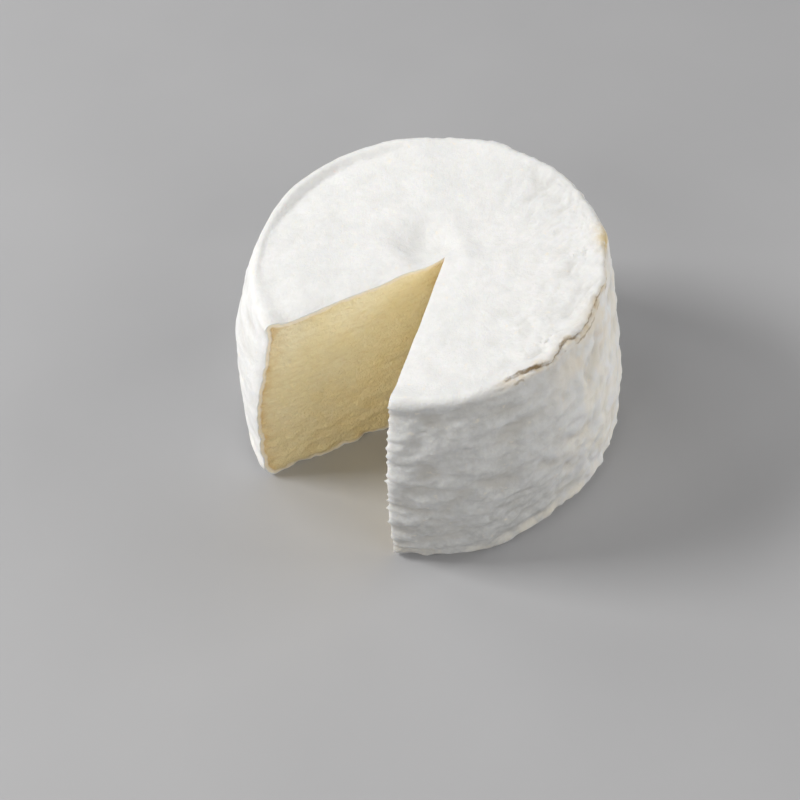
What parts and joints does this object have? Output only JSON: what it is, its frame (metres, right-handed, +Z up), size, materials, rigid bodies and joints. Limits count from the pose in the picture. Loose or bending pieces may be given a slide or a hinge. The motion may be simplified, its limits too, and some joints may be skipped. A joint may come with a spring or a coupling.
{
  "type": "cheese wheel",
  "caption": "Tall round wheel of soft-ripened white-rind cheese, with a wedge cut out down to the base.",
  "frame": {"origin": "middle of the flat base, below the middle of the wheel's extent in X and Y", "axes": "+Z up, out of the top face; -Y and -X towards the quarter where the wedge is cut out"},
  "size_m": [0.1158, 0.1172, 0.0685],
  "materials": {
    "cheese": "matte"
  },
  "bodies": {
    "root": {"cheese_wheel": "cheese"}
  },
  "joints": []
}
